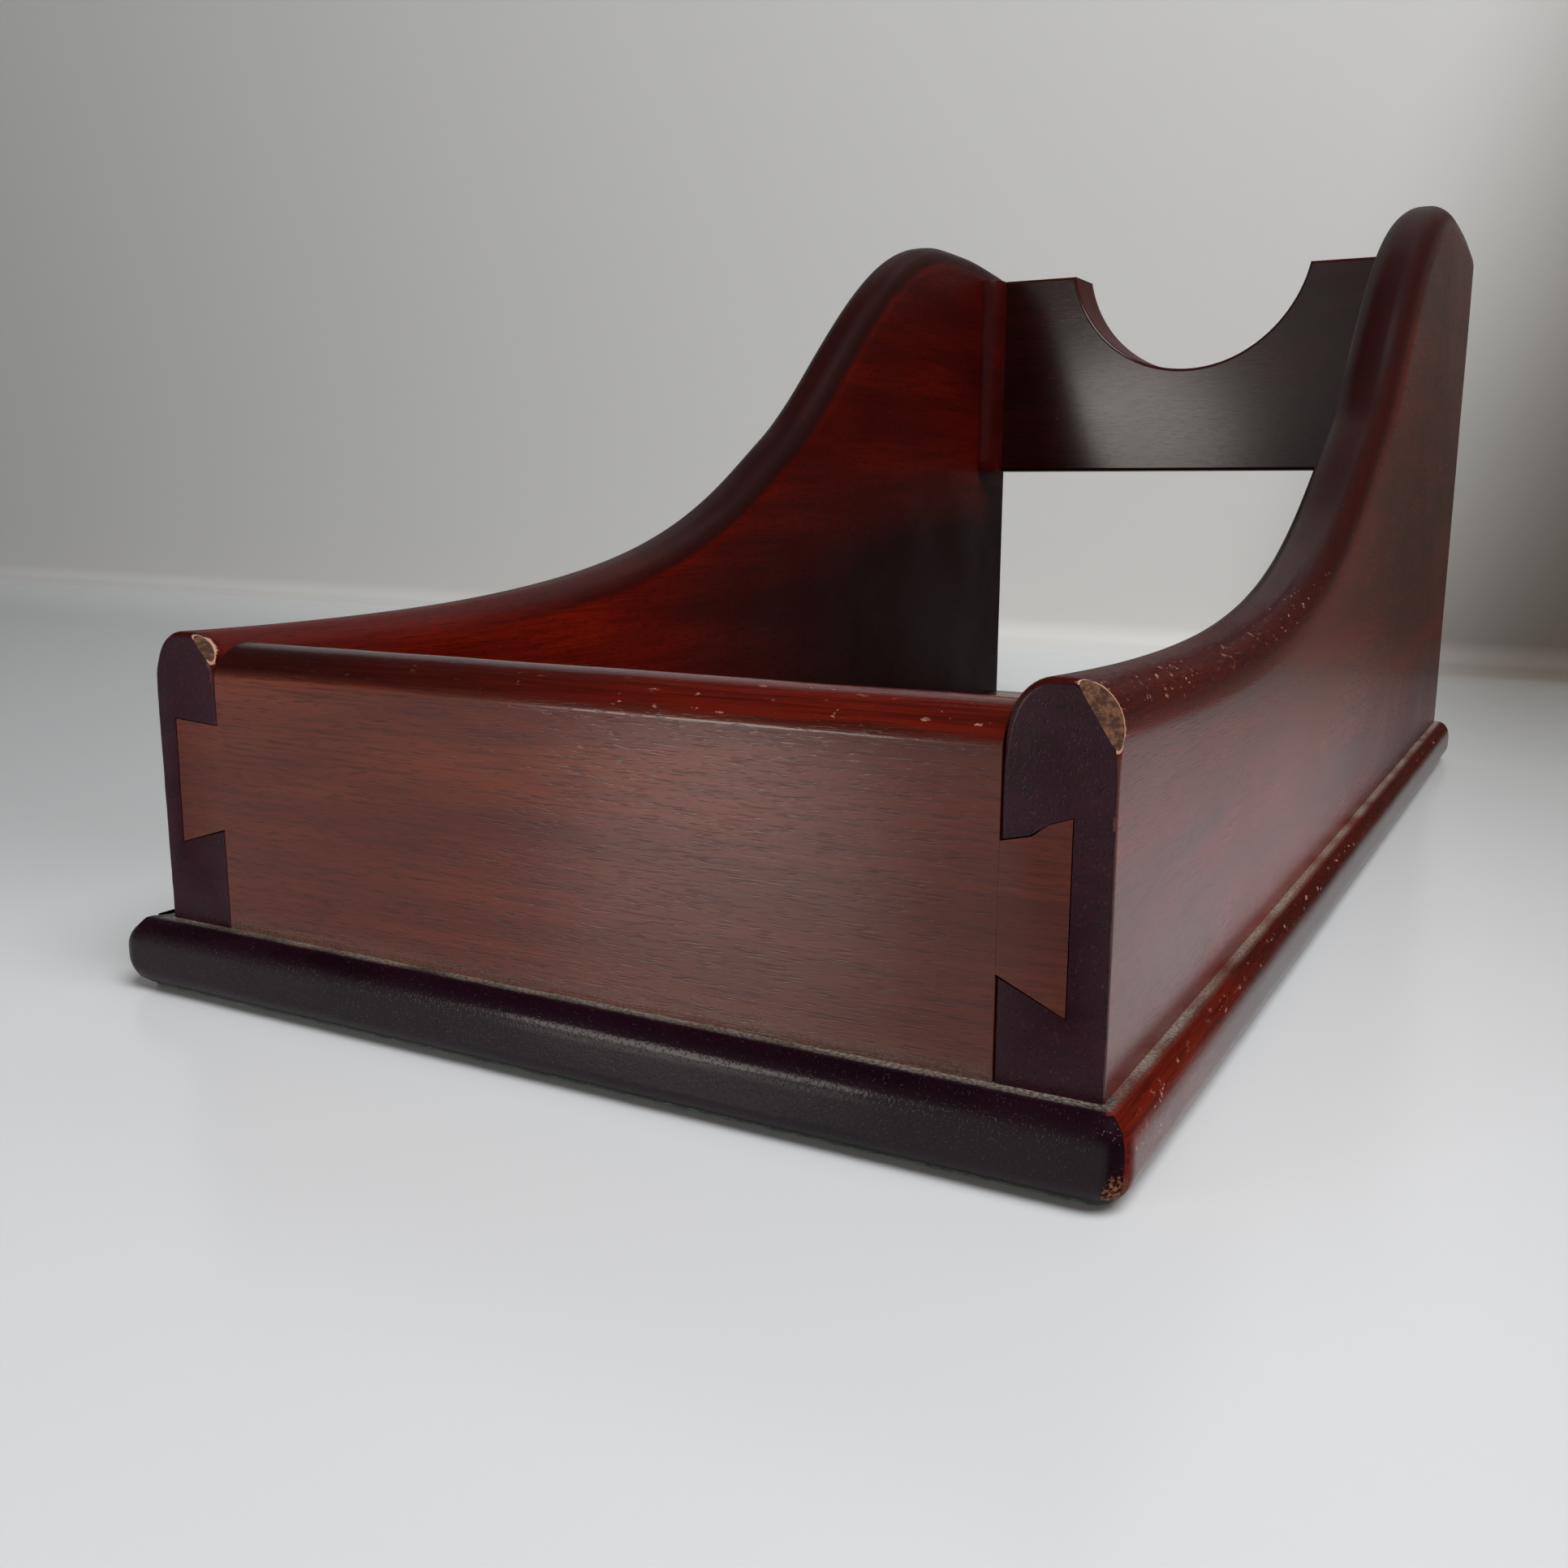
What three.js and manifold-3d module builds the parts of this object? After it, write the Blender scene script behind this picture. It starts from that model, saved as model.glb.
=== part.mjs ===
// Mahogany wine-bottle cradle. All sizes in millimetres, +Z up.
// The origin is the centre of the footprint, on the surface that the cradle stands on.
// X runs across the cradle, Y runs from the low front (-) to the high rear (+).
import * as THREE from 'three';
import { mergeVertices } from 'three/addons/utils/BufferGeometryUtils.js';
import Module from 'manifold-3d';

const wasm = await Module();
wasm.setup();

// Driving dimensions
const WIDTH = 116; // over the two sides
const LENGTH = 250; // of the sides, front to rear
const BOARD = 10; // thickness of the sides and of the front board
const JOINT_GAP = 0.3; // room left round a tail, a screw or any other piece let into another

const FELT_THICKNESS = 1;
const FELT_INSET = 2.2; // from the widest line of the base edge

const BASE_THICKNESS = 7.8;
const BASE_OVERHANG_SIDES = 4.6; // proud of the sides
const BASE_OVERHANG_ENDS = 3.5; // proud of the front board and of the rear
const BASE_EDGE_RADIUS = 2.9;
const BASE_CORNER_RADIUS = 2.5; // seen from above

// Side profile: heights above the table, distances from the front end of the side
const FRONT_TOP = 44.1;
const SWEEP_HANDLE_FRONT = { along: 92, height: 41.4 };
const SWEEP_HANDLE_BELOW = { along: 110.5, height: 54.1 };
const SWEEP_MIDDLE = { along: 138.7, height: 70.4 };
const SWEEP_HANDLE_ABOVE = { along: 159.2, height: 82.25 };
const CREST_HANDLE = { along: 178.3, height: 114.4 };
const CREST = { along: 217, height: 114.4 };
const REAR_HANDLE = { along: 232, height: 114.4 };
const REAR_TOP = 112.8;
const SIDE_TOP_RADIUS = 4.5;

const FRONT_BOARD_TOP = 42.3;
const FRONT_TOP_RADIUS = 4.2;
const TAIL_REACH = 6.5; // of each tail into the side
const TAIL_ROOT = { low: 19.6, high: 31.8 };
const TAIL_TIP = { low: 17, high: 33.4 };

const REST_BOTTOM = 65;
const REST_TOP = 109.6;
const REST_THICKNESS = 13.6;
const NOTCH_RADIUS = 27;
const NOTCH_CENTRE_ABOVE_TOP = 5.3;
const BLOCK_LEG = 4.6;

const SCREW_HEAD_RADIUS = 3.2;
const SCREW_HEAD_HEIGHT = 2.4;
const SCREW_SHANK_RADIUS = 1.5;
const SCREW_LENGTH = 19;
const SCREW_TIP_LENGTH = 3;
const SCREW_ALONG = [40, 125, 210]; // from the front end of the sides

// Derived places
const halfWidth = WIDTH / 2;
const innerHalf = halfWidth - BOARD;
const frontY = -LENGTH / 2;
const rearY = LENGTH / 2;
const baseBottom = FELT_THICKNESS;
const baseTop = baseBottom + BASE_THICKNESS;
const restFrontY = rearY - REST_THICKNESS;

const CURVE_STEPS = 14;
const BEVEL_STEPS = 4;
const ROUND_STEPS = 16;
const OVERLAP = 2; // how far a cutting or joined shape runs past the face it meets

// Materials
const mahogany = (color, roughness) =>
  new THREE.MeshStandardMaterial({ color, roughness, metalness: 0 });
const sideWood = mahogany(0x7a3023, 0.35);
const panelWood = mahogany(0x8c4a38, 0.42);
const baseWood = mahogany(0x5a231a, 0.38);
const baize = new THREE.MeshStandardMaterial({ color: 0x2f4a35, roughness: 0.95, metalness: 0 });
const steel = new THREE.MeshStandardMaterial({ color: 0x8b8a86, roughness: 0.4, metalness: 1 });

// Closed triangle mesh <-> solid that can be cut and joined
function toSolid(geometry) {
  const bare = geometry.index ? geometry.toNonIndexed() : geometry.clone();
  bare.deleteAttribute('normal');
  bare.deleteAttribute('uv');
  const merged = mergeVertices(bare, 1e-4);
  return new wasm.Manifold(new wasm.Mesh({
    numProp: 3,
    vertProperties: new Float32Array(merged.attributes.position.array),
    triVerts: new Uint32Array(merged.index.array),
  }));
}

function toGeometry(solid) {
  const { vertProperties, triVerts } = solid.getMesh();
  const geometry = new THREE.BufferGeometry();
  geometry.setAttribute('position', new THREE.BufferAttribute(vertProperties, 3));
  geometry.setIndex(new THREE.BufferAttribute(triVerts, 1));
  geometry.computeVertexNormals();
  return geometry;
}

// Axes for an outline: which direction its own x, y and thickness run in
const AXES = {
  alongX: [new THREE.Vector3(0, 1, 0), new THREE.Vector3(0, 0, 1), new THREE.Vector3(1, 0, 0)],
  alongY: [new THREE.Vector3(-1, 0, 0), new THREE.Vector3(0, 0, 1), new THREE.Vector3(0, 1, 0)],
  alongZ: [new THREE.Vector3(1, 0, 0), new THREE.Vector3(0, 1, 0), new THREE.Vector3(0, 0, 1)],
};

// Extrudes an outline from one place to another along an axis, with rounded rims of an optional radius
function slab(outline, axis, from, to, rim = 0) {
  const geometry = new THREE.ExtrudeGeometry(outline, {
    depth: to - from - 2 * rim,
    curveSegments: CURVE_STEPS,
    bevelEnabled: rim > 0,
    bevelThickness: rim,
    bevelSize: rim,
    bevelOffset: -rim,
    bevelSegments: BEVEL_STEPS,
  });
  geometry.translate(0, 0, from + rim);
  return geometry.applyMatrix4(new THREE.Matrix4().makeBasis(...AXES[axis]));
}

function box(low, high) {
  const geometry = new THREE.BoxGeometry(high[0] - low[0], high[1] - low[1], high[2] - low[2]);
  return geometry.translate((low[0] + high[0]) / 2, (low[1] + high[1]) / 2, (low[2] + high[2]) / 2);
}

function polygon(points) {
  return new THREE.Shape(points.map(([x, y]) => new THREE.Vector2(x, y)));
}

// Upright body of revolution from a profile of [radius, height] pairs
function turned(profile, x, y) {
  const points = profile.map(([radius, height]) => new THREE.Vector2(radius, height));
  const geometry = new THREE.LatheGeometry(points, ROUND_STEPS);
  return geometry.rotateX(Math.PI / 2).translate(x, y, 0);
}

// Places of the base screws: three under each side
const screwPlaces = [-1, 1].flatMap((side) =>
  SCREW_ALONG.map((along) => ({ x: side * (innerHalf + BOARD / 2), y: frontY + along })));

// Countersunk wood screw, or with room > 0 the hole that it sits in
function screwProfile(room) {
  const bottom = baseBottom + JOINT_GAP - (room > 0 ? OVERLAP : 0);
  const head = baseBottom + JOINT_GAP;
  const tip = head + SCREW_LENGTH;
  return [
    [0, bottom],
    [SCREW_HEAD_RADIUS + room, bottom],
    [SCREW_HEAD_RADIUS + room, head + 0.4],
    [SCREW_SHANK_RADIUS + room, head + SCREW_HEAD_HEIGHT + room],
    [SCREW_SHANK_RADIUS + room, tip - SCREW_TIP_LENGTH + room],
    [0, tip + room],
  ];
}

function withScrewHoles(solid) {
  return screwPlaces.reduce(
    (body, { x, y }) => body.subtract(toSolid(turned(screwProfile(JOINT_GAP), x, y))), solid);
}

// Tail of the front board, pointing to +X, or with room > 0 the socket for it
function tailOutline(room) {
  const root = innerHalf - OVERLAP;
  const tip = innerHalf + TAIL_REACH + room;
  const slope = (TAIL_TIP.high - TAIL_ROOT.high) / TAIL_REACH;
  const slopeLow = (TAIL_ROOT.low - TAIL_TIP.low) / TAIL_REACH;
  return polygon([
    [-root, TAIL_ROOT.low + slopeLow * OVERLAP - room],
    [-tip, TAIL_TIP.low - slopeLow * room - room],
    [-tip, TAIL_TIP.high + slope * room + room],
    [-root, TAIL_ROOT.high - slope * OVERLAP + room],
  ].reverse());
}

function tail(side, room) {
  const prism = slab(tailOutline(room), 'alongY', frontY - (room > 0 ? OVERLAP : 0), frontY + BOARD + room);
  if (side > 0) return toSolid(prism);
  return toSolid(prism).mirror([1, 0, 0]);
}

function baseBoard() {
  const x = halfWidth + BASE_OVERHANG_SIDES;
  const y = LENGTH / 2 + BASE_OVERHANG_ENDS;
  const r = BASE_CORNER_RADIUS + BASE_EDGE_RADIUS;
  const outline = new THREE.Shape();
  outline.absarc(x - r, y - r, r, 0, Math.PI / 2);
  outline.absarc(-x + r, y - r, r, Math.PI / 2, Math.PI);
  outline.absarc(-x + r, -y + r, r, Math.PI, 1.5 * Math.PI);
  outline.absarc(x - r, -y + r, r, 1.5 * Math.PI, 2 * Math.PI);
  return toGeometry(withScrewHoles(toSolid(slab(outline, 'alongZ', baseBottom, baseTop, BASE_EDGE_RADIUS))));
}

function baseFelt() {
  const x = halfWidth + BASE_OVERHANG_SIDES - FELT_INSET;
  const y = LENGTH / 2 + BASE_OVERHANG_ENDS - FELT_INSET;
  return box([-x, -y, 0], [x, y, FELT_THICKNESS]);
}

// Side board: the sweep runs past both ends and the foot, so that only its top edge is rounded
function sideBoard(side) {
  const past = 3 * SIDE_TOP_RADIUS;
  const along = (point) => [frontY + point.along, point.height];
  const outline = new THREE.Shape();
  outline.moveTo(frontY - past, baseTop - past);
  outline.lineTo(rearY + past, baseTop - past);
  outline.lineTo(rearY + past, REAR_TOP - 1);
  outline.lineTo(rearY, REAR_TOP);
  outline.bezierCurveTo(...along(REAR_HANDLE), ...along(REAR_HANDLE), ...along(CREST));
  outline.bezierCurveTo(...along(CREST_HANDLE), ...along(SWEEP_HANDLE_ABOVE), ...along(SWEEP_MIDDLE));
  outline.bezierCurveTo(...along(SWEEP_HANDLE_BELOW), ...along(SWEEP_HANDLE_FRONT), frontY, FRONT_TOP);
  outline.lineTo(frontY - past, FRONT_TOP);
  const [near, far] = side > 0 ? [innerHalf, halfWidth] : [-halfWidth, -innerHalf];
  const rounded = toSolid(slab(outline, 'alongX', near, far, SIDE_TOP_RADIUS));
  const extent = toSolid(box([near, frontY, baseTop], [far, rearY, CREST.height + past]));
  return toGeometry(withScrewHoles(rounded.intersect(extent).subtract(tail(side, JOINT_GAP))));
}

function frontBoard() {
  const r = FRONT_TOP_RADIUS;
  const outline = new THREE.Shape();
  outline.moveTo(frontY, baseTop);
  outline.lineTo(frontY + BOARD, baseTop);
  outline.absarc(frontY + BOARD - r, FRONT_BOARD_TOP - r, r, 0, Math.PI / 2);
  outline.absarc(frontY + r, FRONT_BOARD_TOP - r, r, Math.PI / 2, Math.PI);
  const panel = toSolid(slab(outline, 'alongX', -innerHalf, innerHalf));
  return toGeometry(panel.add(tail(1, 0)).add(tail(-1, 0)));
}

function neckRest() {
  const centre = REST_TOP + NOTCH_CENTRE_ABOVE_TOP;
  const rimAngle = Math.asin(NOTCH_CENTRE_ABOVE_TOP / NOTCH_RADIUS);
  const outline = new THREE.Shape();
  outline.moveTo(-innerHalf, REST_BOTTOM);
  outline.lineTo(innerHalf, REST_BOTTOM);
  outline.lineTo(innerHalf, REST_TOP);
  outline.absarc(0, centre, NOTCH_RADIUS, -rimAngle, rimAngle - Math.PI, true);
  outline.lineTo(-innerHalf, REST_TOP);
  return slab(outline, 'alongY', restFrontY, rearY);
}

// Quarter-round block in the corner between a side and the neck rest
function cornerBlock(side) {
  const outline = new THREE.Shape();
  outline.moveTo(side * innerHalf, restFrontY);
  if (side > 0) outline.absarc(innerHalf, restFrontY, BLOCK_LEG, Math.PI, 1.5 * Math.PI);
  else outline.absarc(-innerHalf, restFrontY, BLOCK_LEG, 1.5 * Math.PI, 2 * Math.PI);
  return slab(outline, 'alongZ', REST_BOTTOM, REST_TOP);
}

const cradle = new THREE.Group();

function addPiece(name, geometry, material) {
  const mesh = new THREE.Mesh(geometry, material);
  mesh.name = name;
  cradle.add(mesh);
}

addPiece('base_felt', baseFelt(), baize);
addPiece('base_board', baseBoard(), baseWood);
addPiece('left_side', sideBoard(-1), sideWood);
addPiece('right_side', sideBoard(1), sideWood);
addPiece('front_board', frontBoard(), panelWood);
addPiece('neck_rest', neckRest(), sideWood);
addPiece('corner_block_left', cornerBlock(-1), sideWood);
addPiece('corner_block_right', cornerBlock(1), sideWood);
screwPlaces.forEach(({ x, y }, index) => {
  addPiece(`base_screw_${index + 1}`, turned(screwProfile(0), x, y), steel);
});

export default cradle;
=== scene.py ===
"""Mahogany wine-bottle cradle: the looks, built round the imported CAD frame.

Lengths are in millimetres, in the row frame: X across, Y from the low front to the high rear, Z up.
The helpers turn them into Blender's metres.
"""
import math
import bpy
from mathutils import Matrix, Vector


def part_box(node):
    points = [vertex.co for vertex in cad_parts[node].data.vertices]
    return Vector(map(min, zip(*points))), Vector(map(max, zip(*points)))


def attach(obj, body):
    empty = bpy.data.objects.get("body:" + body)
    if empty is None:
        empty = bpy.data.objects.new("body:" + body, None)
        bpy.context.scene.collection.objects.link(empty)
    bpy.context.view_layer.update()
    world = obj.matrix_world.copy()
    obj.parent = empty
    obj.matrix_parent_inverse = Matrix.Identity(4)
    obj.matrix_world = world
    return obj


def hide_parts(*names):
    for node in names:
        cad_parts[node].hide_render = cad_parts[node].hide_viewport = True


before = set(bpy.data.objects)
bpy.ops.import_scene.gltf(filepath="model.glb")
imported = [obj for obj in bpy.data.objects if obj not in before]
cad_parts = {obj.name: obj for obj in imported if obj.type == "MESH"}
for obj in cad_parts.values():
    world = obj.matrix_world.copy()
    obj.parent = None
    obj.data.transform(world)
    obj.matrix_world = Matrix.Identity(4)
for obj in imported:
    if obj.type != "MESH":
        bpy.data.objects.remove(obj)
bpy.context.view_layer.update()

from types import SimpleNamespace

import bmesh
import bpy
from mathutils import Matrix, Vector, noise

MM = 0.001


def node_box(name):
    """Lowest and highest corner of a CAD node, in millimetres."""
    low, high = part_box(name)
    return low / MM, high / MM


SIDE_LOW, SIDE_HIGH = node_box("right_side")
_, PANEL_HIGH = node_box("front_board")
REST_LOW, REST_HIGH = node_box("neck_rest")
BASE_LOW, BASE_HIGH = node_box("base_board")
FELT_LOW, FELT_HIGH = node_box("base_felt")
BLOCK_LOW, BLOCK_HIGH = node_box("corner_block_right")

INNER_HALF, OUTER_HALF = SIDE_LOW.x, SIDE_HIGH.x
BOARD = OUTER_HALF - INNER_HALF
FRONT_Y, REAR_Y = SIDE_LOW.y, SIDE_HIGH.y
BASE_TOP = BASE_HIGH.z

# Sweep of each hand-shaped side: distance from the front end, height above the table
LEFT_SWEEP = {
    "front": (0, 43.7), "front_handle": (97.8, 41.5),
    "below": (116, 57.5), "middle": (139.1, 70.6), "above": (160.9, 83),
    "crest_handle": (181.4, 114.6), "crest": (215.3, 114.6),
}
RIGHT_SWEEP = {
    "front": (0, 45), "front_handle": (97.4, 39.9),
    "below": (112.4, 56.6), "middle": (138.7, 70.9), "above": (156.9, 80.9),
    "crest_handle": (169.3, 114.4), "crest": (216.9, 114.4),
}
REAR_HANDLE_ALONG = 232
REAR_TOP = 112.8
SIDE_TOP_RADIUS = 4.4  # across the board
SIDE_TOP_DEPTH = 5.3  # down its faces
END_EDGE = 0.35  # worn-soft arris round the end grain

# Worn facet on the front top of each side: a point of its plane, and the way it faces
LEFT_FACET = (Vector((-50.2, FRONT_Y, 41.9)), Vector((0.62, -0.55, 0.56)).normalized())
RIGHT_FACET = (Vector((54.8, FRONT_Y, 43.6)), Vector((0.657, -0.626, 0.422)).normalized())
FACET_REACH = 9  # half the width of the block that cuts it
ON_FACET = 0.03  # faces this close to the plane belong to the facet
END_FACING, END_DEPTH = 0.93, 0.2  # end grain faces along Y at least this much, this near an end

# How finely a side is meshed
SWEEP_STEPS = (220, 70, 24)  # points tried along its three curves
END_RINGS = (0, 0.08, 0.2, 0.35, 0.55, 0.8, 1.1)  # from each end
FINE_SPACING, COARSE_SPACING = 0.6, 1.8
FINE_REACH = 8  # fine spacing this far from the front
UPRIGHT_REACH = 1.5  # this close to an end, the top is rounded straight down, not across the slope
FACE_ROWS = 26
ROUND_STEPS = 12

# Front board
ARRIS_BELOW_TOP = 3.4  # the flat front stops here, and the half-round top begins
ARRIS_RADIUS = 0.35
ARRIS_SOFTENING = 0.05
TAIL_GAP = 0.12
LEFT_TAIL = [(47.8, 33.0), (54.9, 33.4), (55.1, 18.6), (47.8, 20.8)]
RIGHT_TAIL = [(47.8, 30.6), (50.7, 31.3), (52.3, 32.5), (54.3, 33.2), (54.3, 15.8), (47.8, 18.8)]
TAIL_SET_BACK = 0.04
SOCKET_START = 2  # its cutter begins this far in front of the side
JOINT_LINE = 0.1  # dark line between the front board and each side
PANEL_STEPS, PANEL_ROWS, CROWN_STEPS = 120, 20, 22

# Neck rest and corner blocks
NOTCH_RADIUS = 27
NOTCH_CENTRE_ABOVE_TOP = 5.3
NOTCH_STEPS = 48
NOTCH_LIP = 0.6  # short flat beside each end of the notch
REST_EDGE = 0.7
REST_EDGE_TURNS = (1, 0.75, 0.5, 0.25, 0)  # shares of a quarter turn round the edge
WAVY_ABOVE = 70  # only the hand-cut upper edge of the rest is wavy
BLOCK_STEPS, BLOCK_ROWS = 10, 30
BLOCK_END_SHRINK = 0.09

# Base: its visible board sits a little to the left of the CAD board
BASE_SHIFT = -1.4
BASE_CORNER = 2.8
BASE_SPACING = (60, 110)  # parts of its edges along X and along Y
SMALLEST_CORNER = 0.6
ARC_STEPS = 10  # round each corner
EDGE_STEPS = 10
EDGE_REACH = (4, 0.5)  # the left and right edges' extra wear grows between these distances inside them
# How far in, and how far up or down, each edge is rounded, and what wear adds at the left and right
UPPER_EDGE, UPPER_LEFT_WEAR = (2.5, 3.2), (2.3, 0.4)
LOWER_EDGE, LOWER_LEFT_WEAR, LOWER_RIGHT_WEAR = (1.3, 1.9), (2.6, 1.1), (0.9, 0.7)
FLAT_INSETS = (3.2, 4.2, 7, 10)
END_GRAIN_STRIP = 5.5  # of the flat top, along the front

# Baize: height share and inset of each ring
FELT_RINGS = ((0, 0.35), (0.25, 0.05), (0.6, 0), (1.0, 0.1))
FELT_CORNER = 2
FELT_SPACING = (240, 480)  # parts of its edges along X and along Y
FELT_ENDS = (55, 120)  # points past these lie on the ends of the sheet in X and Y

ALONG_X, ALONG_Y = 0, 1
SHARP_ANGLE = 38  # degrees between two faces, past which their edge isn't smoothed


# ---------------------------------------------------------------- mesh helpers
def loft(rings):
    """Vertices and faces of a closed skin over rings with the same number of points."""
    count = len(rings[0])
    vertices = [point for ring in rings for point in ring]
    faces = []
    for row in range(len(rings) - 1):
        for column in range(count):
            beside = (column + 1) % count
            faces.append((row * count + column, row * count + beside,
                          (row + 1) * count + beside, (row + 1) * count + column))
    faces.append(tuple(reversed(range(count))))
    faces.append(tuple(range((len(rings) - 1) * count, len(rings) * count)))
    return vertices, faces


def join_shells(*shells):
    """One shell made of several."""
    vertices, faces = [], []
    for shell_vertices, shell_faces in shells:
        start = len(vertices)
        vertices += shell_vertices
        faces += [tuple(start + index for index in face) for face in shell_faces]
    return vertices, faces


def prism(outline, y_from, y_to):
    """Outline in X and Z, run along Y."""
    return loft([[Vector((x, y, z)) for x, z in outline] for y in (y_from, y_to)])


def ruffle(point, size, period):
    """Small smooth offset that differs from place to place."""
    return size * noise.noise(Vector(point) / period)


def smooth_step(low, high, value):
    """From 0 at low to 1 at high. Low may be the greater one."""
    t = min(1, max(0, (value - low) / (high - low)))
    return t * t * (3 - 2 * t)


def make_object(name, shell):
    """Object made of a shell, its faces turned outward."""
    vertices, faces = shell
    mesh = bpy.data.meshes.new(name)
    mesh.from_pydata([Vector(point) * MM for point in vertices], [], faces)
    shape = bmesh.new()
    shape.from_mesh(mesh)
    bmesh.ops.recalc_face_normals(shape, faces=shape.faces)
    shape.to_mesh(mesh)
    shape.free()
    made = bpy.data.objects.new(name, mesh)
    bpy.context.scene.collection.objects.link(made)
    return made


def cut_away(piece, cutter):
    """Removes the cutter's volume from the piece, then the cutter itself."""
    modifier = piece.modifiers.new("cut", "BOOLEAN")
    modifier.object = cutter
    modifier.operation = "DIFFERENCE"
    modifier.solver = "EXACT"
    view = bpy.context.evaluated_depsgraph_get()
    cut = bpy.data.meshes.new_from_object(piece.evaluated_get(view))
    piece.modifiers.clear()
    piece.data = cut
    bpy.data.objects.remove(cutter)


def paint(piece, rules):
    """Stores rule(point, normal), from 0 to 1, at each vertex for each named rule.

    The materials read these by name: edge (chipped), bare (down to the wood), dust, rubbed (thin red
    varnish), dark (grime and painted shade), dull (less varnish) and rim (pale fringe). One that a piece
    lacks reads as 0.
    """
    for name, rule in rules.items():
        layer = piece.data.attributes.new(name, "FLOAT", "POINT")
        values = [min(1, max(0, rule(v.co / MM, v.normal))) for v in piece.data.vertices]
        layer.data.foreach_set("value", values)


def dress(piece, node, materials, choose=None):
    """Shading, materials, body and CAD node of a finished piece."""
    for material in materials:
        piece.data.materials.append(material)
    for face in piece.data.polygons:
        face.use_smooth = True
        face.material_index = choose(face.center / MM, face.normal) if choose else 0
    piece.data.set_sharp_from_angle(angle=math.radians(SHARP_ANGLE))
    modifier = piece.modifiers.new("normals", "WEIGHTED_NORMAL")
    modifier.keep_sharp = True
    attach(piece, "root")
    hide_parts(node)


# ---------------------------------------------------------------- node helpers
def add_node(tree, kind, inputs=(), **settings):
    made = tree.nodes.new(kind)
    for name, value in settings.items():
        setattr(made, name, value)
    for name, value in dict(inputs).items():
        if isinstance(value, bpy.types.NodeSocket):
            tree.links.new(value, made.inputs[name])
        else:
            made.inputs[name].default_value = value
    return made


def calc(tree, operation, first, second):
    return add_node(tree, "ShaderNodeMath", {0: first, 1: second}, operation=operation).outputs[0]


def times(tree, first, second):
    return calc(tree, "MULTIPLY", first, second)


def plus(tree, first, second):
    return calc(tree, "ADD", first, second)


def blend(tree, factor, first, second):
    mix = add_node(tree, "ShaderNodeMix", {0: factor, 6: first, 7: second}, data_type="RGBA")
    return mix.outputs[2]


def ramp(tree, value, low, high, out_low=0.0, out_high=1.0):
    """Smooth step of a value from low..high to out_low..out_high."""
    made = add_node(tree, "ShaderNodeMapRange",
                    {"Value": value, "From Min": low, "From Max": high,
                     "To Min": out_low, "To Max": out_high},
                    interpolation_type="SMOOTHSTEP")
    return made.outputs[0]


def object_place(tree):
    return add_node(tree, "ShaderNodeTexCoord").outputs["Object"]


def stretched_noise(tree, place, periods, detail=2.0, roughness=0.5):
    """Noise whose features have these sizes, in millimetres, along X, Y and Z."""
    scale = tuple(1 / (period * MM) for period in periods)
    moved = add_node(tree, "ShaderNodeVectorMath", {0: place, 1: scale}, operation="MULTIPLY")
    made = add_node(tree, "ShaderNodeTexNoise",
                    {"Vector": moved.outputs[0], "Scale": 1.0, "Detail": detail,
                     "Roughness": roughness})
    return made.outputs["Fac"]


def grain_noise(tree, place, axis, along, across, detail=2.0, roughness=0.5):
    """Noise drawn out along the grain."""
    periods = [across] * 3
    periods[axis] = along
    return stretched_noise(tree, place, periods, detail, roughness)


def even_noise(tree, place, period, detail=2.0, roughness=0.5):
    """Noise with features of one size, in millimetres."""
    return stretched_noise(tree, place, [period] * 3, detail, roughness)


def attribute(tree, name):
    return add_node(tree, "ShaderNodeAttribute", attribute_name=name).outputs["Fac"]


def scaled(color, factor):
    """The colour with each channel multiplied."""
    return tuple(channel * factor for channel in color[:3]) + (1,)


def new_material(name):
    material = bpy.data.materials.new(name)
    material.use_nodes = True
    return material, material.node_tree, material.node_tree.nodes["Principled BSDF"]


def set_relief(tree, shader, height, depth, sockets=("Normal",)):
    """Fine relief: a height of 1 stands depth millimetres proud."""
    bump = add_node(tree, "ShaderNodeBump",
                    {"Height": height, "Strength": 1.0, "Distance": depth * MM})
    for socket in sockets:
        tree.links.new(bump.outputs[0], shader.inputs[socket])


# ---------------------------------------------------------------- materials
BARE_WOOD = (0.30, 0.115, 0.055, 1)
RUBBED = (0.12, 0.006, 0.0015, 1)
PALE_CHIP = (0.46, 0.24, 0.16, 1)
DUST = (0.25, 0.215, 0.18, 1)
# Near-black red for grime and for painted shade
GRIME_AND_SHADE = (0.010, 0.0014, 0.0016, 1)
PORE_BLACK = (0.004, 0.003, 0.003, 1)
GREY_SPECK = (0.10, 0.085, 0.085, 1)

VARNISHED = ("Normal", "Coat Normal")
WOOD_RELIEF = 0.012
WOOD_ROUGHNESS = 0.5


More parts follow.
